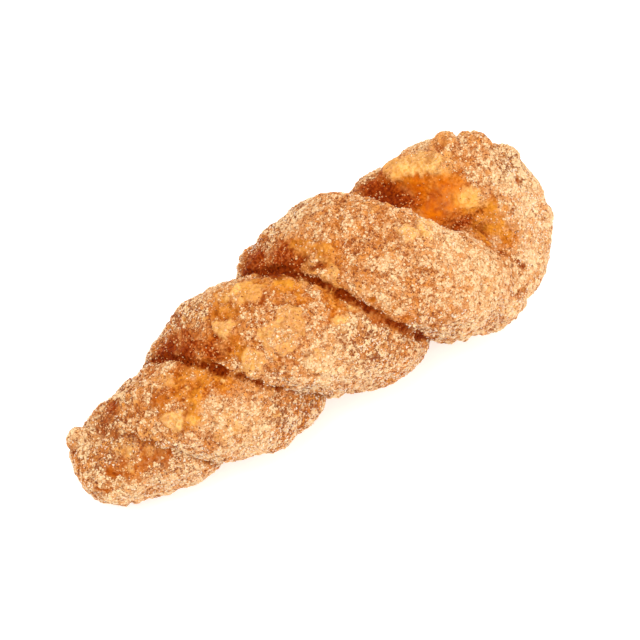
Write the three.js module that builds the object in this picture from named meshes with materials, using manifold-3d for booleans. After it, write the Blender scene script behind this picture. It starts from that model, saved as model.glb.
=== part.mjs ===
// A twisted doughnut: one rope of dough, folded in half and twisted on itself.
// Millimetres, +Z up. The twist runs along X, from the pinched ends at -X to the loop at +X.
// The doughnut lies on the plane Z = 0. The origin is at the middle of its footprint.
import * as THREE from "three";
import { mergeVertices } from "three/addons/utils/BufferGeometryUtils.js";
import Module from "manifold-3d";

const LENGTH = 155; // pinched ends to the outside of the loop
const ROPE_START = 2.5; // from the outside of the pinched ends to the tips inside them
const LOOP_START = 122; // where the helix ends and the loop turns back
const LOOP_SHARE = 0.16; // share of each half of the rope that is in the loop
const END_SHARE = 0.085; // share of each half that closes to its pinched end
const SPLICE = 0.05; // how far each half reaches past the middle of the loop, inside the other
const INNER_BEND = 0.26; // how much the dough is squeezed on the inside of the loop
const SETTLED = 0.87; // height of the dough after proving and frying, as a share of its width
const FLAT = 0.8; // depth pressed flat where the dough lies on the tray

// Sizes at a few places along the twist. x is measured from the pinched ends.
// radius: half the rope's thickness, measured from the middle of the twist outward.
// width: half the rope's thickness the other way, across that.
// offset: the rope's middle from the middle of the twist.
// turn: degrees turned about X. Two halves of one rope lie opposite each other.
// side: the middle of the twist, towards +Y.
// sag: how far the loop sinks towards the tray.
const STATIONS = [
  { x: 0, radius: 8.6, width: 11.2, offset: 4.3, turn: -542, side: 4, sag: 0 },
  { x: 12, radius: 9.8, width: 12.4, offset: 5.5, turn: -423, side: 2.6, sag: 0 },
  { x: 24, radius: 11.2, width: 13.5, offset: 6.8, turn: -338, side: 1, sag: 0 },
  { x: 53, radius: 13.7, width: 15.5, offset: 10.9, turn: -155, side: 0.7, sag: 0 },
  { x: 88, radius: 15.5, width: 16.5, offset: 13.3, turn: 19, side: 0.4, sag: 0 },
  { x: 106, radius: 16, width: 16, offset: 13.2, turn: 128, side: -1.5, sag: 0 },
  { x: 124, radius: 16.2, width: 16.6, offset: 13, turn: 203, side: -1.8, sag: 5.3 },
  { x: 155, radius: 16.2, width: 16.7, offset: 15.2, turn: 206, side: 0.4, sag: 10 },
];

// Places where the dough bulges out or lies flatter, and how far each one reaches.
const SWELLINGS = [
  { at: [118, 25, 31], reach: 7, rise: -1.8 },
  { at: [143, 13, 36], reach: 7, rise: 1.4 },
  { at: [135, 19, 36], reach: 5, rise: 0.8 },
  { at: [97, 24, 37], reach: 6, rise: 1.2 },
  { at: [71, 24, 28], reach: 6, rise: 1 },
  { at: [76, -26, 28], reach: 10, rise: -1.8 },
  { at: [18, -15, 17], reach: 9, rise: -2.2 },
];

// The hollow beside the loop, in one side of the rope only.
const HOLLOW = [
  { at: [111, 17, 35], reach: 6.5, rise: -5 },
  { at: [117, 10, 39], reach: 6.5, rise: -5 },
  { at: [124, 3, 38], reach: 6, rise: -4.5 },
];

// Rounded lumps of the same dough, each half as long, wide and high as stated.
const WEB = { x: 126, length: 9, width: 8, height: 11 }; // closes the eye of the loop
const PINCH = { x: 9.5, length: 9.5, width: 12.5, height: 13 }; // the ends squeezed together

// How finely each half of the rope is faceted.
const RINGS = 84;
const SIDES = 34;

// A smooth curve through the stations, for one of their sizes.
function profile(name) {
  const slopes = STATIONS.map((_, i) => {
    const before = STATIONS[Math.max(i - 1, 0)];
    const after = STATIONS[Math.min(i + 1, STATIONS.length - 1)];
    return (after[name] - before[name]) / (after.x - before.x);
  });
  return (x) => {
    const next = STATIONS.findIndex((station) => station.x > x);
    const i = next < 0 ? STATIONS.length - 2 : Math.max(next - 1, 0);
    const from = STATIONS[i];
    const to = STATIONS[i + 1];
    const span = to.x - from.x;
    const t = THREE.MathUtils.clamp((x - from.x) / span, 0, 1);
    const rise = t * t * (3 - 2 * t);
    const bend = slopes[i] * t * (1 - t) ** 2 - slopes[i + 1] * t * t * (1 - t);
    return from[name] + (to[name] - from[name]) * rise + span * bend;
  };
}
const radius = profile("radius");
const width = profile("width");
const offset = profile("offset");
const turn = profile("turn");
const side = profile("side");
const sag = profile("sag");

// The middle of the twist at x.
function axisPoint(x) {
  return new THREE.Vector3(x, side(x), radius(x) + offset(x) - FLAT - sag(x));
}

// How far round the loop the rope is at s: 0 in the helix, 1 at the middle of the loop.
function loopShare(s) {
  return Math.max(1 - Math.abs(s) / LOOP_SHARE, 0);
}

// The rope at s, from -1 and 1 at its two pinched ends to 0 at the middle of the loop.
function rope(s) {
  const half = s < 0 ? 1 : -1;
  const bend = loopShare(s) * (Math.PI / 2);
  const loopDepth = LENGTH - radius(LENGTH) - LOOP_START;
  const along = (1 - Math.abs(s)) / (1 - LOOP_SHARE);
  const x = bend
    ? LOOP_START + loopDepth * Math.sin(bend)
    : ROPE_START + (LOOP_START - ROPE_START) * along;
  const angle = THREE.MathUtils.degToRad(turn(x));
  const across = new THREE.Vector3(0, Math.cos(angle), Math.sin(angle)).multiplyScalar(half);
  const centre = axisPoint(x).addScaledVector(across, offset(x) * Math.cos(bend));
  const outward = across.multiplyScalar(Math.cos(bend)).setX(Math.sin(bend));
  return { x, centre, outward };
}

// How far the places in a list push out the surface near a point.
function push(places, point) {
  return places.reduce((sum, { at, reach, rise }) => {
    const far = point.distanceTo(new THREE.Vector3(...at)) / reach;
    return sum + rise * Math.exp(-far * far);
  }, 0);
}

// The hand-rolled unevenness of the dough, a few tenths of a millimetre each way.
function unevenness({ x, y, z }) {
  return (
    0.3 * Math.sin(0.38 * x + 0.21 * y - 0.12 * z + 0.6) +
    0.25 * Math.sin(-0.24 * x + 0.47 * y + 0.31 * z + 2.1) +
    0.2 * Math.sin(0.55 * x - 0.33 * y + 0.44 * z + 4.4)
  );
}

const SETTLE = new THREE.Vector3(1, 1, SETTLED);

// A point of the rope's surface.
function surface(s, around, scale) {
  const step = 1e-3;
  const { x, centre, outward } = rope(s);
  const tangent = rope(s + step).centre.sub(rope(s - step).centre).normalize();
  outward.addScaledVector(tangent, -outward.dot(tangent)).normalize();
  const upward = new THREE.Vector3().crossVectors(tangent, outward);
  const squeeze = Math.cos(around) < 0 ? INNER_BEND * Math.sin(loopShare(s) * (Math.PI / 2)) : 0;
  const reach = outward
    .multiplyScalar(radius(x) * (1 - squeeze) * Math.cos(around))
    .addScaledVector(upward, width(x) * Math.sin(around))
    .multiplyScalar(scale);
  const point = centre.clone().add(reach).multiply(SETTLE);
  const hollow = s > 0 ? push(HOLLOW, point) : 0;
  const pushed = (push(SWELLINGS, point) + hollow + unevenness(point)) * scale;
  return point.addScaledVector(reach.normalize(), pushed);
}

// One half of the rope, from its pinched end to just past the middle of the loop.
function ropeHalf(half) {
  const geometry = new THREE.SphereGeometry(1, SIDES, RINGS);
  const position = geometry.getAttribute("position");
  for (let i = 0; i < position.count; i += 1) {
    const share = Math.acos(THREE.MathUtils.clamp(position.getY(i), -1, 1)) / Math.PI;
    const around = Math.atan2(position.getZ(i), position.getX(i));
    const from = 1 - share * (1 + SPLICE);
    const closing = from > 0 ? Math.max((from - 1 + END_SHARE) / END_SHARE, 0) : -from / SPLICE;
    const scale = Math.sqrt(Math.max(1 - closing ** 2, 0));
    const p = surface(half * from, -around * half, scale);
    position.setXYZ(i, p.x, p.y, p.z);
  }
  return geometry;
}

// A rounded lump on the middle of the twist, turned with it.
function lump({ x, length, width, height }) {
  return new THREE.SphereGeometry(1, 28, 20)
    .scale(length, width, height)
    .rotateX(THREE.MathUtils.degToRad(turn(x)))
    .translate(...axisPoint(x))
    .scale(1, 1, SETTLED);
}

const wasm = await Module();
wasm.setup();

function toSolid(geometry) {
  const bare = geometry.clone();
  bare.deleteAttribute("normal");
  bare.deleteAttribute("uv");
  const merged = mergeVertices(bare, 1e-4);
  const mesh = new wasm.Mesh({
    numProp: 3,
    vertProperties: merged.getAttribute("position").array,
    triVerts: new Uint32Array(merged.index.array),
  });
  return new wasm.Manifold(mesh);
}

function toGeometry(solid) {
  const mesh = solid.getMesh();
  return new THREE.BufferGeometry()
    .setAttribute("position", new THREE.BufferAttribute(mesh.vertProperties, 3))
    .setIndex(new THREE.BufferAttribute(mesh.triVerts, 1));
}

const tray = new THREE.BoxGeometry(2 * LENGTH, LENGTH, 40).translate(LENGTH / 2, 0, -20);
const pieces = [ropeHalf(-1), ropeHalf(1), lump(WEB), lump(PINCH)].map(toSolid);
const joined = pieces.reduce((all, piece) => all.add(piece));
const dough = toGeometry(joined.subtract(toSolid(tray)));

dough.computeBoundingBox();
const middle = dough.boundingBox.getCenter(new THREE.Vector3());
dough.translate(-middle.x, -middle.y, 0);

const crust = new THREE.MeshStandardMaterial({ color: 0xc98a52, roughness: 0.8, metalness: 0 });
const doughnut = new THREE.Mesh(dough, crust);
doughnut.name = "twisted_dough";

const part = new THREE.Group();
part.add(doughnut);
export default part;
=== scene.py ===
# The looks of a twist doughnut: its fried crust and its coat of cinnamon sugar.
import math
from functools import cached_property

import bpy
import numpy as np
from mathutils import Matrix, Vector
from mathutils.kdtree import KDTree


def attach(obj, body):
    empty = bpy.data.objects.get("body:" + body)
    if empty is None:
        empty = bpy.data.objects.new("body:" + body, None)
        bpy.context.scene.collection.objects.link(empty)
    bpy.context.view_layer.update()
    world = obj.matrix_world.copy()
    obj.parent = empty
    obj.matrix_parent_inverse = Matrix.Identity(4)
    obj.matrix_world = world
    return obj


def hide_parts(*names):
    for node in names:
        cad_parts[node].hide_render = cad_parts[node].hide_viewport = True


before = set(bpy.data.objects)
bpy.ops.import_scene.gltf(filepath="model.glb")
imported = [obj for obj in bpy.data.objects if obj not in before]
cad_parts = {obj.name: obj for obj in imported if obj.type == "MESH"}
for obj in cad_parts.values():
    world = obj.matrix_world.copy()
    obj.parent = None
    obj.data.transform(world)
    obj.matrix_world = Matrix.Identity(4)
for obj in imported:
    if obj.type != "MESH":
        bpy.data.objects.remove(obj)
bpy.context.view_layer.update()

MM = 0.001
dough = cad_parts["twisted_dough"]

# Sizes are in millimetres, angles in degrees.
# How far apart the points of the meshes are, for the folds and for the finished crust.
FOLD_MESH, CRUST_MESH = 0.42, 0.61

# Two strands meet where the dough's surface turns inwards by more than this.
LEAST_CREASE = 28

# The strand nearer the loop swells where it laps over the next one, leans its lip across
# the gap between them, and the gap has a groove at its bottom.
LAP_HEIGHT, LAP_MIDDLE, LAP_WIDTH = 0.7, 1.6, 1.2
LIP_LENGTH, LIP_WIDTH = 0.45, 1.5
GAP_DEPTH, GAP_WIDTH = 1.15, 0.78
GROOVE_DEPTH, GROOVE_WIDTH = 0.4, 0.7

# The unevenness of the crust: height, and distance from one bump to the next.
HUMP_HEIGHT, HUMP_PITCH = 0.6, 14.0
BUMP_HEIGHT, BUMP_PITCH = 0.8, 7.0
DIMPLE_HEIGHT, DIMPLE_PITCH = 0.35, 3.6
FINE_HEIGHT, FINE_PITCH = 0.2, 1.3
SCALE_HEIGHT, SCALE_PITCH = 0.6, 6.5
CRUMB_HEIGHT, CRUMB_PITCH = 0.5, 3.1
GRIT_HEIGHT, GRIT_PITCH = 0.4, 1.7
# Blisters rise this many times their listed height, and some have a ring of this depth.
BLISTER_SWELL, MOAT_DEPTH = 1.2, 0.35
# How far the chips of crust on bare dough stand above the gaps between them.
FLAKE_HEIGHT = 0.4

# The crust lies this far inside the dough's own surface, so that bumps and sugar fit on it.
ROOM_FOR_COAT = 0.8
# A point of the crust further than this from the middle of its neighbours is drawn in.
THORN = 0.2
# The share of the way to the middle of its neighbours that a point goes, and goes back.
SMOOTHING, REGROWTH = 0.6, 0.61


# ---------- numbers ----------

def ramp(low, high, value):
    """0 up to low and 1 from high on, smooth between, whichever of the two is greater."""
    t = np.clip((value - low) / (high - low), 0.0, 1.0)
    return t * t * (3 - 2 * t)


def bell(distance, width):
    """1 at no distance, falling away to 0 past about two widths."""
    return np.exp(-(distance / width) ** 2)


def unit(value):
    """The value, held between 0 and 1."""
    return np.clip(value, 0, 1)


# Large odd numbers that scramble a cell's three numbers, its seed and the result.
SCRAMBLE = 73856093, 19349663, 83492791
SCRAMBLE_SEED, SCRAMBLE_AGAIN = 982451653, 1274126177
BITS_32, BITS_16 = 0xFFFFFFFF, 0xFFFF

# The cells of every noise start this many cells away from the part's origin.
CELL_SHIFT = 100.5
# Brings the noise to about -1 to 1.
NOISE_GAIN = 1.6


def hashed(cell, seed):
    """A number from 0 to 1 for each whole-numbered cell, with no pattern to it."""
    x, y, z = (cell[..., axis] * SCRAMBLE[axis] for axis in range(3))
    h = (x ^ y ^ z ^ seed * SCRAMBLE_SEED) & BITS_32
    h = (h ^ (h >> 13)) * SCRAMBLE_AGAIN & BITS_32
    return ((h ^ (h >> 16)) & BITS_16) / BITS_16


def noise(points, pitch, seed):
    """Smooth noise from about -1 to 1, with bumps about pitch apart."""
    q = points / pitch + CELL_SHIFT
    cell = np.floor(q).astype(np.int64)
    part = q - cell
    fade = part ** 3 * (part * (part * 6 - 15) + 10)
    total = np.zeros(len(points))
    for corner in np.ndindex(2, 2, 2):
        at = cell + corner
        slope = np.stack([hashed(at, seed + k) for k in (1, 2, 3)], axis=-1) * 2 - 1
        weight = np.prod(np.where(np.array(corner) == 1, fade, 1 - fade), axis=1)
        total += weight * (slope * (part - corner)).sum(axis=1)
    return total * NOISE_GAIN


def drift(points, pitch, seeds):
    """Smooth noise in three directions, with a seed for each."""
    return np.stack([noise(points, pitch, seed) for seed in seeds], axis=1)


def cells(points, pitch, seed):
    """Cells about pitch across: how far inside its own each point is, and the cell's number."""
    q = points / pitch + CELL_SHIFT
    cell = np.floor(q).astype(np.int64)
    near = np.full(len(points), 9.0)
    second = np.full(len(points), 9.0)
    tag = np.zeros(len(points))
    for step in np.ndindex(3, 3, 3):
        at = cell + np.array(step) - 1
        centre = at + np.stack([hashed(at, seed + k) for k in (1, 2, 3)], axis=-1)
        far = np.linalg.norm(q - centre, axis=1)
        closer = far < near
        second = np.where(closer, near, np.minimum(second, far))
        tag = np.where(closer, hashed(at, seed + 4), tag)
        near = np.where(closer, far, near)
    return second - near, tag


def patches(points, places):
    """How far each point is inside a list of soft round places, 0 to 1."""
    inside = np.zeros(len(points))
    for centre, reach in places:
        far = np.linalg.norm((points - centre) / reach, axis=1)
        inside = np.maximum(inside, np.exp(-far ** 2))
    return inside


def streak(start, end, reach):
    """Small places all along a straight line."""
    count = math.ceil(math.dist(start, end) / reach) + 1
    return [(place, reach) for place in np.linspace(start, end, count)]


# ---------- meshes ----------

def arrays(mesh):
    """A mesh's points and the three corners of each of its triangles."""
    points = np.empty(len(mesh.vertices) * 3)
    mesh.vertices.foreach_get("co", points)
    mesh.calc_loop_triangles()
    corners = np.empty(len(mesh.loop_triangles) * 3, dtype=np.int32)
    mesh.loop_triangles.foreach_get("vertices", corners)
    return points.reshape(-1, 3), corners.reshape(-1, 3)


def piece(name, points, faces, material):
    """A mesh object from points in metres and triangles."""
    mesh = bpy.data.meshes.new(name)
    mesh.vertices.add(len(points))
    mesh.vertices.foreach_set("co", points.astype(np.float32).ravel())
    mesh.loops.add(faces.size)
    mesh.loops.foreach_set("vertex_index", faces.astype(np.int32).ravel())
    mesh.polygons.add(len(faces))
    mesh.polygons.foreach_set("loop_start", np.arange(len(faces), dtype=np.int32) * 3)
    mesh.update(calc_edges=True)
    mesh.materials.append(material)
    obj = bpy.data.objects.new(name, mesh)
    bpy.context.scene.collection.objects.link(obj)
    return obj


def normals(points, faces):
    """The outward direction at each point."""
    a, b, c = (points[faces[:, k]] for k in range(3))
    across = np.cross(b - a, c - a)
    total = np.stack([
        sum(np.bincount(faces[:, k], across[:, axis], len(points)) for k in range(3))
        for axis in range(3)
    ], axis=1)
    return total / np.maximum(np.linalg.norm(total, axis=1, keepdims=True), 1e-12)


def edges_of(faces):
    """The two ends of each edge, once for each face beside it."""
    return np.concatenate([faces[:, [0, 1]], faces[:, [1, 2]], faces[:, [2, 0]]])


def spread(values, edges, rounds=1):
    """Each value or point moved to the mean of its neighbours', a number of times over."""
    count = np.bincount(edges[:, 0], minlength=len(values))[:, None]
    columns = values.reshape(len(values), -1)
    for step in range(rounds):
        columns = np.stack([
            np.bincount(edges[:, 0], column[edges[:, 1]], len(values))
            for column in columns.T
        ], axis=1) / count
    return columns.reshape(values.shape)


def relax(points, edges, rounds):
    """Smooths a mesh, and gives back the size that smoothing takes."""
    for share in (SMOOTHING, -REGROWTH) * rounds:
        points = points + (spread(points, edges) - points) * share
    return points


def without_thorns(points, edges):
    """The points, with those drawn in that stand out from the middle of their neighbours."""
    for step in range(4):
        around = spread(points, edges)
        apart = np.linalg.norm(points - around, axis=1, keepdims=True)
        points = around + (points - around) * np.minimum(1, THORN * MM / np.maximum(apart, 1e-9))
    return points


def finely_meshed(points, faces, pitch):
    """The same surface, meshed again with points about pitch millimetres apart."""
    mesh = bpy.data.meshes.new("rough")
    mesh.from_pydata(points.tolist(), [], faces.tolist())
    copy = bpy.data.objects.new("rough", mesh)
    bpy.context.scene.collection.objects.link(copy)
    remesh = copy.modifiers.new("remesh", "REMESH")
    remesh.mode = "VOXEL"
    remesh.voxel_size = pitch * MM
    shown = copy.evaluated_get(bpy.context.evaluated_depsgraph_get())
    points, faces = arrays(shown.to_mesh())
    bpy.data.objects.remove(copy)
    bpy.data.meshes.remove(mesh)
    return points, faces


def creases(source):
    """Points along the lines where two strands of dough meet."""
    points, faces = arrays(source.data)
    keys = np.round(points / 1e-6).astype(np.int64)
    _, first, same = np.unique(keys, axis=0, return_index=True, return_inverse=True)
    points, faces = points[first], same.ravel()[faces]
    a, b, c = (points[faces[:, k]] for k in range(3))
    facing = np.cross(b - a, c - a)
    facing /= np.maximum(np.linalg.norm(facing, axis=1, keepdims=True), 1e-15)
    sides = {}
    for index, face in enumerate(faces):
        for k in range(3):
            sides.setdefault(tuple(sorted((face[k], face[k - 1]))), []).append(index)
    found = []
    for (p, q), pair in sides.items():
        if len(pair) != 2:
            continue
        one, other = pair
        third = points[faces[other].sum() - p - q]
        turn = math.degrees(math.acos(np.clip(facing[one] @ facing[other], -1, 1)))
        if turn > LEAST_CREASE and (third - points[p]) @ facing[one] > 0:
            found += [points[p] + (points[q] - points[p]) * t for t in np.linspace(0, 1, 9)]
    return np.array(found)


def nearest(points, targets):
    """For each point, which target is nearest and how far it is."""
    tree = KDTree(len(targets))
    for index, target in enumerate(targets):
        tree.insert(target, index)
    tree.balance()
    found = [tree.find(point) for point in points]
    return np.array([f[1] for f in found]), np.array([f[2] for f in found])


# ---------- what lies where on the crust ----------

# Each place is its middle and its reach, in millimetres in the part's frame.
# Bare dough, with hardly any sugar on it.
BARE = [
    ((56, -5, 33), 5), ((56, -13, 29), 4), ((55, -8, 30), 6), ((52, 0, 35), 5), ((52, -9, 31), 5),
    ((50, 6, 36), 6), ((46, 4, 33), 5), ((45, 11, 35), 6), ((40, 17, 32), 6), ((16, -18, 37), 4),
    ((13, -14, 40), 5), ((9, 7, 46), 5), ((9, -8, 41), 5), ((4, -2, 43), 4), ((3, 15, 42), 6),
    ((2, -7, 43), 4), ((-3, 2, 45), 4), ((-5, 8, 43), 5), ((-11, 13, 41), 5), ((-14, 15, 41), 6),
    ((-19, 16, 39), 4), ((-23, 11, 40), 4), ((-26, 1, 41), 5), ((-29, 5, 39), 5),
    ((-34, -2, 36), 5), ((-36, 3, 36), 4), ((-40, -1, 36), 5), ((-43, 5, 35), 6),
    ((-44, 8, 33), 5), ((-45, -6, 34), 4), ((-49, 3, 33), 4), ((-55, -7, 24), 2.4),
    ((-60, -5, 25), 3), ((-66, -5, 24), 4.2), ((-71, -2, 23), 3), ((-74, -4, 19), 3),
]
# Dough that only has a thin coat.
THIN = [
    ((58, 18, 37), 6), ((57, -6, 31), 8), ((48, 15, 37), 9), ((46, -28, 22), 9), ((28, 8, 48), 7),
    ((24, -24, 35), 8), ((11, 5, 46), 9), ((-13, 8, 43), 11), ((-24, 5, 40), 9),
    ((-37, -18, 27), 8), ((-44, 0, 34), 10), ((-66, -3, 23), 8),
]
# Dark, well-browned dough deep in the turns, darkened further with painted shade where the turns curl
# under.
BROWNED_AND_SHADED = [
    ((48, -3, 31), 3), ((40, 11, 32), 4), ((38, 15, 31), 5), ((35, 21, 29), 6), ((7, 6, 43), 2.4),
    ((2, 12, 41), 4.4), ((-1, 17, 38), 6), ((-4, 22, 33), 6), ((-31, 6, 38), 4),
    ((-35, 11, 35), 6), ((-39, 16, 30), 6), ((-60, 13, 25), 3), ((-64, 11, 23), 3),
]
# Painted shade, darkest where a strand goes under the next one, and in short dark streaks along the
# folds.
UNDERLAP_SHADE = [
    ((37, 13, 31), 3), ((36, 16, 30), 3.6), ((34, 19, 30), 3.6), ((-1, 13, 41), 2.4),
    ((-4, 12, 41), 2.4), ((-6, 16, 37), 3.5), ((-7, 21, 30), 4), ((-36, 11, 34), 3),
    ((-38, 16, 30), 3.5),
]
UNDERLAP_SHADE += streak((53, -15, 29), (57, -22, 24), 1.1)
UNDERLAP_SHADE += streak((2, 11, 42), (5, 10, 44), 1.0)
UNDERLAP_SHADE += streak((5, 10, 44), (8, 10, 45), 0.8)
UNDERLAP_SHADE += streak((2, 8, 41), (6, 6, 45), 0.8)
# The hollow's smooth wall.
SLICK = [((49, 5, 35), 6), ((45, 5, 33), 5), ((42, 14, 34), 7), ((38, 17, 31), 5)]
# Where the folds are shallow.
SHALLOW = [
    ((74, -5, 26), 6), ((58, -5, 32), 9), ((53, -13, 28), 6), ((50, -2, 32), 6),
    ((33, 21, 30), 5), ((-52, -9, 24), 9), ((-60, 4, 25), 11), ((-68, 14, 18), 5),
    ((-77, 6, 12), 9), ((-82, 0, 12), 9),
]
# Bright golden dough, where the crust is thin.
GOLDEN = [
    ((58, -7, 32), 4), ((57, 18, 37), 5), ((56, -9, 30), 4), ((55, 22, 34), 4),
    ((54, 0, 35), 3.5), ((54, -6, 30), 3), ((51, 2, 36), 2.5), ((50, 18, 38), 5),
    ((44, 20, 35), 5), ((6, 12, 45), 5), ((-3, 10, 44), 6), ((-5, 14, 42), 4),
    ((-12, -14, 41), 4), ((-14, 13, 42), 6), ((-15, -4, 44), 6), ((-19, 12, 41), 5),
    ((-22, 16, 38), 4), ((-24, -3, 41), 5), ((-37, 5, 35), 3.5), ((-46, -4, 34), 5),
    ((-50, 2, 32), 4),
]
# Where the coat is richer in cinnamon; at the end toward -x and on the strands' left rims this
# darkening is also painted shade.
SPICED_AND_SHADED = [
    ((70, 3, 31), 7), ((36, 23, 28), 6), ((22, -22, 24), 5), ((17, -20, 32), 5),
    ((12, 25, 36), 6), ((5, -18, 38), 9), ((0, 25, 30), 10), ((-13, -18, 19), 5),
    ((-18, -15, 26), 6), ((-22, -20, 28), 8), ((-26, 15, 37), 4), ((-28, 20, 32), 7),
    ((-37, 19, 28), 9), ((-42, 20, 22), 6), ((-50, 5, 34), 4), ((-55, 18, 22), 7),
    ((-56, -9, 22), 6), ((-57, 14, 26), 6), ((-60, -6, 24), 5), ((-62, 12, 24), 8),
    ((-68, 3, 22), 10),
]
# Where the coat is pale with sugar, and on the sides that face toward -y also paler as painted light.
CREAMY_AND_LIT = [
    ((72, -6, 28), 16), ((66, -1, 33), 7), ((62, -20, 24), 9), ((54, 24, 32), 5),
    ((44, -22, 38), 14), ((40, -8, 45), 10), ((35, 27, 28), 4), ((12, 26, 40), 7),
    ((10, -14, 42), 8), ((-6, -18, 38), 9), ((-20, 22, 35), 5), ((-34, -17, 30), 9),
    ((-40, -9, 34), 5), ((-42, 12, 32), 4), ((-56, -14, 20), 7), ((-63, -11, 19), 5),
    ((-68, 11, 20), 6), ((-70, -9, 17), 8), ((-75, -2, 20), 5),
]
# The loop's outer rim, the palest of all, as painted light where it faces the lamps.
LIT_RIM = [((69, -9, 29), 8), ((66, -15, 26), 7), ((60, -21, 23), 6)]
# Broad swellings and hollows: middle, reach, and height.
SWELLS = [
    ((66, -18, 22), 8, 0.5), ((72, -10, 27), 8, 0.4), ((73, 3, 29), 7, 0.6),
    ((52, -27, 19), 6, 0.4), ((-9, 24, 28), 6, 0.7), ((-20, 20, 35), 6, 0.5),
    ((23, -22, 21), 5, 0.6), ((-12, -19, 17), 5, 0.7), ((-46, -15, 16), 5, 0.5),
    ((-55, -14, 14), 5, 0.8), ((42, 23, 31), 5, 0.7), ((26, -27, 29), 7, -0.9),
    ((4, -26, 26), 7, -1.0), ((-26, -22, 22), 7, -1.0), ((3, 25, 35), 7, -0.6),
    ((-40, 18, 27), 5, -0.6), ((-65, 13, 21), 5, -0.6), ((-42, 12, 31), 4.5, 1.1),
    ((-37, 6, 34), 4, 0.9), ((-64, -12, 15), 5, -0.7), ((36, -30, 22), 6, -0.5),
]
# Blisters: middle, reach, height, and how pale the top is.
BLISTERS = [
    ((74, 8, 28), 4.6, 1.2, 0.0), ((66, 15, 34), 4.8, 1.9, 0.0), ((59, 19, 36), 3.6, 1.6, 0.2),
    ((54, 0, 36), 3.6, 0.4, 0.4), ((54, -6, 30), 3.0, 0.5, 0.0), ((51, 16, 38), 3.5, 0.5, 0.35),
    ((49, 4, 35), 5.0, 0.8, 0.1), ((47, 19, 37), 4.4, 0.7, 0.65), ((43, 21, 34), 4.2, 0.8, 0.45),
    ((36, -3, 46), 3.6, 1.2, 1.1), ((30, -2, 49), 3.2, 1.1, 1.1), ((20, 19, 46), 4.0, 0.9, 0.0),
    ((9, 7, 46), 3.4, 0.7, 0.1), ((2, -11, 43), 2.8, 0.5, 0.7), ((-5, 27, 26), 3.4, 1.5, 0.0),
    ((-10, -1, 46), 4.0, 0.6, 0.4), ((-10, -15, 40), 3.5, 0.6, 0.5),
    ((-14, 13, 42), 4.5, 0.9, 0.3), ((-15, -4, 44), 5.5, 0.7, 0.45),
    ((-24, -4, 40), 3.8, 1.3, 0.55), ((-25, 8, 41), 3.0, 1.1, 0.6),
    ((-39, -13, 33), 4.5, 0.6, 0.4), ((-50, -3, 33), 3.0, 0.7, 0.6),
    ((-57, 12, 28), 4.0, 0.8, 0.1), ((-67, 13, 21), 3.4, 1.3, 0.0),
    ((-71, 13, 18), 3.2, 1.8, 0.0),
]
# Blisters with tops paler than this have a sharp edge and a low ring round them.
SHARP_EDGED = 0.2


# ---------- the folds ----------

def fold_sides(p, out):
    """The glossy places, how deep the folds are, and which strand of a fold each point is on."""
    slick = unit(patches(p, SLICK) * 1.4)
    tight = (1 - 0.9 * unit(patches(p, SHALLOW) * 1.3)) * (1 - slick)
    upper = ramp(0.0, 0.3, -out[:, 0]) * tight
    lower = ramp(0.0, 0.3, out[:, 0]) * tight
    return slick, tight, upper, lower


def lapped(source):
    """The dough with each strand lapped over the next, and how far each point is from a fold."""
    sharp, faces = finely_meshed(*arrays(source.data), FOLD_MESH)
    points = relax(sharp, edges_of(faces), 8)
    out = normals(points, faces)
    p = points / MM
    _, tight, upper, _ = fold_sides(p, out)
    wander = drift(p, 5.0, (51, 52, 53)) * 0.6
    wander += drift(p, 1.8, (54, 55, 56)) * 0.25
    crease = nearest(sharp + wander * MM, creases(source))[1] / MM
    rise = LAP_HEIGHT * upper * bell(crease - LAP_MIDDLE, LAP_WIDTH)
    rise -= GAP_DEPTH * tight * bell(crease, GAP_WIDTH)
    lip = out * out[:, :1] - np.array([1.0, 0.0, 0.0])
    lip = lip * (LIP_LENGTH * upper * bell(crease, LIP_WIDTH))[:, None]
    return points + (out * rise[:, None] + lip) * MM, faces, crease


# The crust: its points, p in millimetres, the way out at each, and how far it is from a fold.
folded, folded_faces, crease = lapped(dough)
points, faces = finely_meshed(folded, folded_faces, CRUST_MESH)
edges = edges_of(faces)
points = relax(points, edges, 2)
out = normals(points, faces)
crease = crease[nearest(points, folded)[0]]
p = points / MM
slick, tight, _, lower = fold_sides(p, out)


# ---------- the kinds of crust ----------

mottle = 0.5 * noise(p, 4.0, 41) + 0.5 * noise(p, 1.9, 42)


def mottled(places, strength, roughness, shift=0.0):
    """Soft places with uneven edges."""
    return patches(p, places) * strength + roughness * mottle + shift


def blistered():
    """How high the blisters are, how pale their tops are, and the low rings round the pale ones."""
    ragged = 0.36 * noise(p, 3.0, 45) + 0.26 * noise(p, 1.5, 46)
    heights, caps, moat = np.zeros((3, len(p)))
    for middle, reach, height, paleness in BLISTERS:
        within = patches(p, [(middle, reach)]) + ragged
        sharp = paleness > SHARP_EDGED
        shape = ramp(0.26, 0.5, within) if sharp else ramp(0.15, 0.8, within)
        caps = np.maximum(caps, shape * paleness * (1.1 + 0.4 * mottle))
        heights = np.maximum(heights, shape * height)
        if sharp:
            moat = np.maximum(moat, ramp(0.1, 0.3, within) - shape)
    return heights, caps, moat


bare = unit(mottled(BARE, 1.2, 1.0, -0.2) + 0.6 * slick)
browned_and_shaded = unit(mottled(BROWNED_AND_SHADED, 1.3, 0.6, -0.15))
golden = unit(mottled(GOLDEN, 1.2, 0.5, -0.1))
spiced_and_shaded = unit(mottled(SPICED_AND_SHADED, 1.2, 0.4))
creamy_and_lit = unit(mottled(CREAMY_AND_LIT, 1.3, 0.4))
thin = patches(p, THIN)
# How deep in the turns each point is, which widens the painted shade of the folds.
deep = unit(patches(p, BROWNED_AND_SHADED) * 2)
# Painted sheen: the coat is paler where the surface turns to the side, with painted light on the
# loop's rim.
side = np.maximum(ramp(0.68, 0.2, out[:, 2]), 0.8 * patches(p, LIT_RIM))
blisters, caps, moat = blistered()

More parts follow.
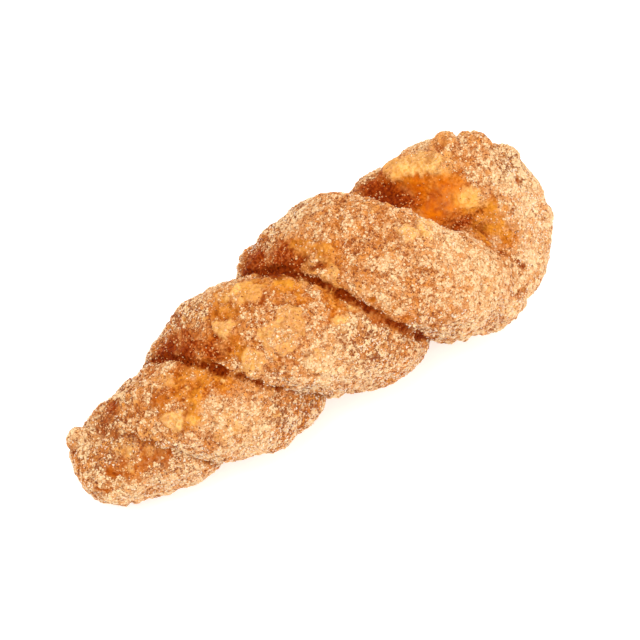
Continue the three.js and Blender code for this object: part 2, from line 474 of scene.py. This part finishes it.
# Cells with wandering edges: crusty scales, crumbs and grit.
loose = p + drift(p, 4.5, (11, 21, 31)) * 1.5
loose += drift(p, 1.6, (12, 22, 32)) * 0.4
scale_edge, scale_tag = cells(loose, SCALE_PITCH, 61)
scales = ramp(0.03, 0.3, scale_edge) * ramp(0.3, 0.9, scale_tag)
crumb_edge, crumb_tag = cells(loose, CRUMB_PITCH, 71)
crumbs = ramp(0.0, 0.4, crumb_edge) * crumb_tag
grit_edge, grit_tag = cells(loose, GRIT_PITCH, 76)
grit = ramp(0.0, 0.5, grit_edge) * grit_tag

# Bare dough is flaky: thin chips of crust stand on it.
flaky = bare * (1 - slick) * (1 - unit(caps))
chips = ramp(-0.05, 0.14, noise(p, 2.6, 91) + 0.5 * noise(p, 1.3, 92))


# ---------- the crust's relief ----------

rough = (1 - 0.4 * unit(bare + caps)) * (1 - 0.95 * slick) * (1 - 0.5 * creamy_and_lit)
small = BUMP_HEIGHT * noise(p, BUMP_PITCH, 2) + DIMPLE_HEIGHT * noise(p, DIMPLE_PITCH, 3)
rise = HUMP_HEIGHT * noise(p, HUMP_PITCH, 1) + small * (1 - 0.6 * slick)
for middle, reach, height in SWELLS:
    rise += height * patches(p, [(middle, reach)])
rise += scales * SCALE_HEIGHT * (1 - 0.5 * bare) * (1 - slick) * (1 - 0.4 * creamy_and_lit)
rise += crumbs * CRUMB_HEIGHT * rough + grit * GRIT_HEIGHT * rough
rise += blisters * BLISTER_SWELL - moat * MOAT_DEPTH + FLAKE_HEIGHT * flaky * (chips - 0.5)
rise += FINE_HEIGHT * noise(p, FINE_PITCH, 4) * rough
rise *= ramp(-1.5, 2.0, crease)
rise -= GROOVE_DEPTH * tight * bell(crease, GROOVE_WIDTH)
rise -= ROOM_FOR_COAT
raised = np.clip((rise - spread(rise, edges, 6)) / 0.3, -1, 1)

# The flats that the doughnut rests on have no bumps.
flat = ramp(0.6, 2.5, p[:, 2])
points = points + out * (rise * np.where(rise > 0, flat, 1.0) * MM)[:, None]
points[:, 2] = np.maximum(points[:, 2], 0.0)
points = without_thorns(points, edges)


# ---------- the crust's finish ----------

# Cracks between the scales, rings round the blisters and gaps between the chips are browner.
cracks = (1 - ramp(0.02, 0.16, scale_edge)) * thin * (1 - slick)
gaps = 0.28 * flaky * (1 - chips) * (1 - 0.7 * golden)
browned_and_shaded = unit(browned_and_shaded + 0.25 * moat + 0.3 * cracks + gaps)
golden = unit(golden + 0.35 * flaky * chips)
pale = unit(caps * 1.1 + 0.5 * scales * ramp(0.6, 0.85, scale_tag) * (0.3 + thin))

# Painted shade in the folds, over the crust's own darker brown there: a dark line along them, a soft
# edge, what lies sunk beside the line, and the listed places where a strand goes under the next.
hollow = ((spread(points, edges, 5) - points) * out).sum(axis=1) / MM
fold_shade = unit(1.3 * bell(crease, 0.52)) * tight
fold_shade = unit(fold_shade + 0.25 * (1 + deep) * tight * bell(crease, 1.6))
fold_shade = unit(fold_shade + 0.9 * ramp(0.22, 0.42, hollow) * bell(crease, 1.3) * tight)
fold_shade = unit(fold_shade + unit(mottled(UNDERLAP_SHADE, 1.3, 0.5, -0.15)))
# Less sugar on the lower strand beside a fold: painted shade where the upper strand laps over it.
scant = unit(1.2 * lower * bell(crease, 3.2))

# The coat of sugar, and the patches where it lies thickest and lightest.
sugar = 1.0 - 0.85 * bare - 0.85 * browned_and_shaded - 0.75 * slick - 0.35 * caps - 0.2 * thin
sugar = unit(sugar - 0.8 * fold_shade - 0.35 * scant + 0.3 * creamy_and_lit - 0.3 * moat)
drifts = 0.8 * noise(p, 1.35, 47) + 0.7 * noise(p, 2.7, 48) + 0.5 * noise(p, 5.5, 49)
frost = unit(ramp(-0.45, 0.5, drifts) + 0.3 * creamy_and_lit) * sugar * (1 - 0.8 * fold_shade)

LAYERS = {
    "bare": bare,
    "browned_and_shaded": browned_and_shaded,
    "creamy_and_lit": creamy_and_lit,
    "frost": frost,
    "golden": golden,
    "pale": pale,
    "raised": raised,
    "fold_shade": fold_shade,
    "side": side,
    "slick": slick,
    "spiced_and_shaded": spiced_and_shaded,
}


# ---------- materials ----------

def colour(red, green, blue):
    """A linear colour from screen values of 0 to 255."""
    return tuple(
        (v / 255 / 12.92 if v <= 10 else ((v / 255 + 0.055) / 1.055) ** 2.4)
        for v in (red, green, blue)
    ) + (1.0,)


# Each kind of crust has a dark and a light colour. FRIED and COATED go from dark in the small hollows
# to light on the rises, which is partly painted shade.
FRIED = colour(156, 70, 14), colour(232, 152, 72)
CRISP = colour(156, 62, 0), colour(234, 142, 36)
SMOOTH = colour(170, 70, 0), colour(214, 110, 0)
CREAM = colour(240, 174, 88), colour(255, 217, 142)
# The browned dough, also darker here as painted shade.
BROWN = colour(118, 34, 0), colour(180, 78, 8)
# The colours of the painted shade at the bottoms of the folds.
FOLD_SHADE = colour(102, 26, 0), colour(150, 58, 4)
COATED = colour(158, 74, 20), colour(226, 154, 86)
SPECKLED = colour(160, 74, 20), colour(252, 208, 154)

# Distances across the patterns in the materials, in metres.
BROAD, MEDIUM, FINE, GRAIN = 0.008, 0.0024, 0.0008, 0.0006


class Nodes:
    """A material, with its shader and short ways to add nodes to it."""

    def __init__(self, name):
        self.material = bpy.data.materials.new(name)
        self.material.use_nodes = True
        self.tree = self.material.node_tree
        self.shader = self.tree.nodes["Principled BSDF"]

    @cached_property
    def where(self):
        """The place on the object, in metres."""
        return self.add("ShaderNodeTexCoord").outputs["Object"]

    def add(self, kind, inputs=None, **settings):
        node = self.tree.nodes.new(kind)
        for name, value in settings.items():
            setattr(node, name, value)
        for name, value in (inputs or {}).items():
            self.put(node.inputs[name], value)
        return node

    def put(self, socket, value):
        if isinstance(value, bpy.types.NodeSocket):
            self.tree.links.new(value, socket)
        else:
            socket.default_value = value

    def all_over(self, **values):
        """Sets numbers and colours that are the same all over the surface."""
        for name, value in values.items():
            self.shader.inputs[name.replace("_", " ")].default_value = value

    def mix(self, share, one, other):
        node = self.add("ShaderNodeMix", data_type="RGBA")
        self.put(node.inputs["Factor"], share)
        self.put(node.inputs[6], one)
        self.put(node.inputs[7], other)
        return node.outputs[2]

    def math(self, operation, *values):
        node = self.add("ShaderNodeMath", operation=operation)
        for socket, value in zip(node.inputs, values):
            self.put(socket, value)
        return node.outputs[0]

    def range(self, value, low, high, to_low=0.0, to_high=1.0):
        inputs = {"Value": value, "From Min": low, "From Max": high,
                  "To Min": to_low, "To Max": to_high}
        return self.add("ShaderNodeMapRange", inputs, clamp=True).outputs[0]

    def layer(self, name, strength=None):
        value = self.add("ShaderNodeAttribute", attribute_name=name).outputs["Fac"]
        return self.math("MULTIPLY", value, strength) if strength else value

    def texture(self, pitch, detail):
        inputs = {"Vector": self.where, "Scale": 1 / pitch, "Detail": detail}
        return self.add("ShaderNodeTexNoise", inputs).outputs["Fac"]

    def bump(self, height, strength, distance, under=None):
        inputs = {"Height": height, "Strength": strength, "Distance": distance}
        if under:
            inputs["Normal"] = under
        return self.add("ShaderNodeBump", inputs).outputs[0]


def fried_colour(m, raised, broad, medium, fine):
    """The colour of the crust where there is no coat on it."""
    # Darker in the small hollows, lighter on the rises: partly painted shade.
    fried = m.mix(raised, *FRIED)
    fried = m.mix(m.range(broad, 0.42, 0.62, 0, 0.5), fried, colour(214, 132, 56))
    # Paler coat: sugar, and painted light on the sides facing -y.
    fried = m.mix(m.layer("creamy_and_lit", 0.6), fried, colour(226, 162, 98))
    crisp = m.mix(m.range(fine, 0.38, 0.62), *CRISP)
    crisp = m.mix(m.range(medium, 0.42, 0.6, 0, 0.5), crisp, colour(222, 132, 34))
    smooth = m.mix(m.range(medium, 0.35, 0.65), *SMOOTH)
    glossy = m.mix(m.layer("slick"), crisp, smooth)
    glossy = m.mix(m.layer("golden", 0.7), glossy, colour(247, 168, 52))
    # Darker where spiced: cinnamon, and painted shade at the -x end and left rims.
    glossy = m.mix(m.layer("spiced_and_shaded", 0.8), glossy, colour(172, 78, 12))
    fried = m.mix(m.layer("bare"), fried, glossy)
    fried = m.mix(m.layer("pale"), fried, m.mix(m.range(fine, 0.35, 0.65), *CREAM))
    # Browned dough, with painted shade in the turns.
    return m.mix(m.layer("browned_and_shaded"), fried, m.mix(m.range(fine, 0.38, 0.62), *BROWN))


def coated_colour(m, raised, grain):
    """The colour of the crust under a full coat of sugar, and of the dust between its grains."""
    # Darker in the small hollows, lighter on the rises: partly painted shade.
    coated = m.mix(raised, *COATED)
    # Paler coat: sugar, and painted light on the sides facing -y.
    coated = m.mix(m.layer("creamy_and_lit", 0.75), coated, colour(240, 201, 146))
    # Darker where spiced: cinnamon, and painted shade at the -x end and left rims.
    coated = m.mix(m.layer("spiced_and_shaded", 0.9), coated, colour(110, 52, 28))
    # Paler on the sides: painted sheen.
    coated = m.mix(m.layer("side", 0.4), coated, colour(236, 204, 172))
    pick = m.add("ShaderNodeSeparateColor", {"Color": grain.outputs["Color"]}).outputs[0]
    return m.mix(0.45, coated, m.mix(m.range(pick, 0.3, 0.7), *SPECKLED))


def crust_material():
    m = Nodes("crust")
    broad, medium, fine = m.texture(BROAD, 3), m.texture(MEDIUM, 3), m.texture(FINE, 2)
    grain = m.add("ShaderNodeTexVoronoi", {"Vector": m.where, "Scale": 1 / GRAIN})
    raised = m.range(m.layer("raised"), -1, 1)

    patchy = m.math("ADD", m.layer("frost"), m.range(fine, 0.3, 0.7, -0.25, 0.25))
    cover = m.range(patchy, 0.0, 0.75, 0.0, 0.92)
    cover = m.math("MULTIPLY", cover, m.range(m.layer("slick"), 0.3, 1, 1, 0.15))
    fried = fried_colour(m, raised, broad, medium, fine)
    skin = m.mix(cover, fried, coated_colour(m, raised, grain))
    # Painted shade along the folds.
    skin = m.mix(m.layer("fold_shade"), skin, m.mix(m.range(fine, 0.35, 0.65), *FOLD_SHADE))
    m.put(m.shader.inputs["Base Color"], skin)
    m.put(m.shader.inputs["Roughness"], m.range(m.layer("frost"), 0.1, 0.6, 0.45, 0.85))
    m.all_over(Specular_IOR_Level=0.03)

    normal = m.bump(grain.outputs["Distance"], 0.5, 0.0003)
    normal = m.bump(fine, m.range(m.layer("slick"), 0.2, 1, 0.9, 0.25), 0.0011, normal)
    m.put(m.shader.inputs["Normal"], m.bump(medium, 0.3, 0.0007, normal))
    return m.material


def grain_material(name, tint, roughness):
    m = Nodes(name)
    m.all_over(Base_Color=tint, Roughness=roughness, Specular_IOR_Level=0.06)
    m.all_over(Sheen_Weight=0.15, Sheen_Roughness=0.5, Sheen_Tint=colour(255, 226, 200))
    m.put(m.shader.inputs["Normal"], m.bump(m.texture(0.0002, 1), 0.2, 0.00005))
    return m.material


# ---------- the coat ----------

# A grain's corners, about 1 across, and its sides.
TETRAHEDRON = (
    np.array([(1, 1, 1), (1, -1, -1), (-1, 1, -1), (-1, -1, 1)]) / math.sqrt(3) * 0.62,
    np.array([(0, 1, 2), (0, 3, 1), (0, 2, 3), (1, 3, 2)]),
)
OCTAHEDRON = (
    np.array([(1, 0, 0), (-1, 0, 0), (0, 1, 0), (0, -1, 0), (0, 0, 1), (0, 0, -1)]) * 0.5,
    np.array([(0, 2, 4), (2, 1, 4), (1, 3, 4), (3, 0, 4), (2, 0, 5), (1, 2, 5), (3, 1, 5), (0, 3, 5)]),
)

# Triangles of the crust lower than about this have no grains, in millimetres.
LOWEST_GRAIN = 0.4
# How much the grains' lengths vary, and the least and the most that one is stretched.
LENGTH_SPREAD = 0.22
STRETCH = 0.7, 1.25
# How far a grain's middle is above the crust, as shares of its length.
STANDING = -0.02, 0.2
# The share of its height that a grain loses by lying flat.
FLATTENED = 0.55


def turned(random, count):
    """Random turns, as one matrix for each grain."""
    q = random.normal(size=(count, 4))
    w, x, y, z = (q / np.linalg.norm(q, axis=1, keepdims=True)).T
    return np.stack([
        1 - 2 * (y * y + z * z), 2 * (x * y - z * w), 2 * (x * z + y * w),
        2 * (x * y + z * w), 1 - 2 * (x * x + z * z), 2 * (y * z - x * w),
        2 * (x * z - y * w), 2 * (y * z + x * w), 1 - 2 * (x * x + y * y),
    ], axis=1).reshape(-1, 3, 3)


def strewn(random, count, weight, clumping):
    """Clustered points on the crust, denser where weight is higher, and the way up at each."""
    tries = 3 * count
    a, b, c = (points[faces[:, k]] for k in range(3))
    across = np.cross(b - a, c - a)
    area = np.linalg.norm(across, axis=1)
    share = area * weight[faces].mean(axis=1)
    share = share * (np.minimum(a[:, 2], b[:, 2]) > LOWEST_GRAIN * MM)
    edge = np.cumsum(share) / share.sum()
    on = np.searchsorted(edge, random.random(tries))
    u, v = random.random((2, tries, 1))
    u, v = np.where(u + v > 1, 1 - u, u), np.where(u + v > 1, 1 - v, v)
    at = a[on] + (b[on] - a[on]) * u + (c[on] - a[on]) * v
    gathered = noise(at / MM, 1.1, 81) + 0.6 * noise(at / MM, 2.3, 82)
    best = np.argsort(-clumping * gathered - random.random(tries), kind="stable")[:count]
    return at[best], across[on[best]] / area[on[best], None]


def scatter(name, shape, count, size, weight, clumping, material, seed):
    """Grains of about size millimetres on the crust, in one mesh."""
    random = np.random.default_rng(seed)
    at, up = strewn(random, count, weight, clumping)
    length = size * MM * np.exp(random.normal(0, LENGTH_SPREAD, count))
    at = at + up * (length * random.uniform(*STANDING, count))[:, None]
    stretch = random.uniform(*STRETCH, (count, 1, 3)) * length[:, None, None]
    corners, sides = shape
    grains = np.einsum("nij,nkj->nki", turned(random, count), corners[None] * stretch)
    grains -= FLATTENED * np.einsum("nki,ni,nj->nkj", grains, up, up)
    grains += at[:, None]
    index = sides[None] + np.arange(count)[:, None, None] * len(corners)
    return piece(name, grains.reshape(-1, 3), index.reshape(-1, 3), material)


# Where each kind of grain lies. A few lie loose in the bare places, and in the browned places with
# painted shade, too.
white = frost ** 1.9 * (1 + 0.3 * creamy_and_lit) * (1 - 0.6 * browned_and_shaded) * (1 - 0.2 * spiced_and_shaded)
# The palest grains lie mostly on the sides and the rim, as painted sheen and painted light, with a few
# in the spiced places and among the white grains.
palest = (side + 0.35 * spiced_and_shaded * (1 - bare) * (1 - browned_and_shaded)) * sugar + 0.12 * white
amber = sugar * (1 - 0.75 * spiced_and_shaded) * (1 - 0.5 * side) + 0.02 + 0.09 * browned_and_shaded
brown = unit(sugar * 1.3 - frost) * (1 - 0.6 * creamy_and_lit) + 0.8 * spiced_and_shaded * sugar
brown = brown * (1 - 0.7 * fold_shade) * (1 - 0.8 * golden) * (1 - caps) + 0.005

# Name, shape, how many, size in millimetres, where, clumping, colour, roughness and seed.
GRAINS = [
    ("sugar_coarse", OCTAHEDRON, 24000, 0.66, white, 1.0, colour(243, 209, 162), 0.5, 5),
    ("sugar_fine", TETRAHEDRON, 49000, 0.55, white + 0.004, 1.0, colour(241, 199, 147), 0.5, 6),
    ("sugar_pale", TETRAHEDRON, 30000, 0.5, palest, 0.8, colour(252, 232, 208), 0.5, 9),
    ("sugar_amber", TETRAHEDRON, 43000, 0.5, amber, 0.7, colour(234, 166, 102), 0.6, 7),
    ("cinnamon", TETRAHEDRON, 25000, 0.42, brown, -0.5, colour(150, 72, 26), 0.85, 8),
]

crust = piece("crust", points, faces, crust_material())
for name, values in LAYERS.items():
    layer = crust.data.attributes.new(name, "FLOAT", "POINT")
    layer.data.foreach_set("value", values.astype(np.float32))
crust.data.polygons.foreach_set("use_smooth", np.ones(len(faces), dtype=bool))
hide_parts("twisted_dough")

pieces = [crust]
for name, shape, count, size, weight, clumping, tint, roughness, seed in GRAINS:
    material = grain_material(name, tint, roughness)
    pieces.append(scatter(name, shape, count, size, weight, clumping, material, seed))
for obj in pieces:
    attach(obj, "root")


# ---------- the stage ----------

# The floor, in metres: half its width, and how far it is below the doughnut.
FLOOR_REACH, FLOOR_DROP = 3.0, 0.0002

# The camera looks steeply down on the doughnut, from one side and a little from its
# pinched ends. Angles are in degrees, places and distances in metres.
CAMERA_AZIMUTH, CAMERA_ELEVATION, CAMERA_DISTANCE = -36.5, 68, 0.8
CAMERA_TARGET = Vector((0.0023, 0.0012, 0.02))
CAMERA_LENS, CAMERA_SENSOR = 162, 36

# A lamp's name, where it is, how wide it is, and its power.
LAMPS = [
    ("key", (0.42, -0.46, 0.42), 0.3, 1.5),
    ("fill", (-0.2, 0.1, 0.8), 0.5, 2.4),
]
LAMP_TARGET = (0, 0, 0.02)
SKY_COLOUR, SKY_STRENGTH = (1, 0.97, 0.92, 1), 1.15


def flat_floor():
    m = Nodes("floor")
    m.all_over(Base_Color=(0.93, 0.93, 0.93, 1), Roughness=0.9, Specular_IOR_Level=0.1)
    m.all_over(Emission_Color=(1, 1, 1, 1), Emission_Strength=0.3)
    corners = np.array([(-1, -1), (1, -1), (1, 1), (-1, 1)]) * FLOOR_REACH
    corners = np.column_stack([corners, np.full(4, -FLOOR_DROP)])
    return piece("floor", corners, np.array([(0, 1, 2), (0, 2, 3)]), m.material)


def aim(obj, target):
    obj.rotation_mode = "QUATERNION"
    obj.rotation_quaternion = (Vector(target) - obj.location).to_track_quat("-Z", "Y")


def add_lamp(name, location, width, power):
    lamp = bpy.data.lights.new(name, "AREA")
    lamp.shape = "DISK"
    lamp.size = width
    lamp.energy = power
    obj = bpy.data.objects.new(name, lamp)
    bpy.context.scene.collection.objects.link(obj)
    obj.location = location
    aim(obj, LAMP_TARGET)


def add_camera():
    scene = bpy.context.scene
    camera = bpy.data.objects.new("camera", bpy.data.cameras.new("camera"))
    scene.collection.objects.link(camera)
    scene.camera = camera
    azimuth, elevation = math.radians(CAMERA_AZIMUTH), math.radians(CAMERA_ELEVATION)
    back = Vector((
        math.sin(azimuth) * math.cos(elevation),
        -math.cos(azimuth) * math.cos(elevation),
        math.sin(elevation),
    ))
    camera.location = CAMERA_TARGET + back * CAMERA_DISTANCE
    camera.data.lens = CAMERA_LENS
    camera.data.sensor_width = CAMERA_SENSOR
    aim(camera, CAMERA_TARGET)


def add_sky():
    sky = bpy.data.worlds.new("studio")
    bpy.context.scene.world = sky
    sky.use_nodes = True
    sky.node_tree.nodes["Background"].inputs["Color"].default_value = SKY_COLOUR
    sky.node_tree.nodes["Background"].inputs["Strength"].default_value = SKY_STRENGTH


flat_floor()
add_camera()
for settings in LAMPS:
    add_lamp(*settings)
add_sky()
bpy.context.scene.view_settings.view_transform = "Standard"
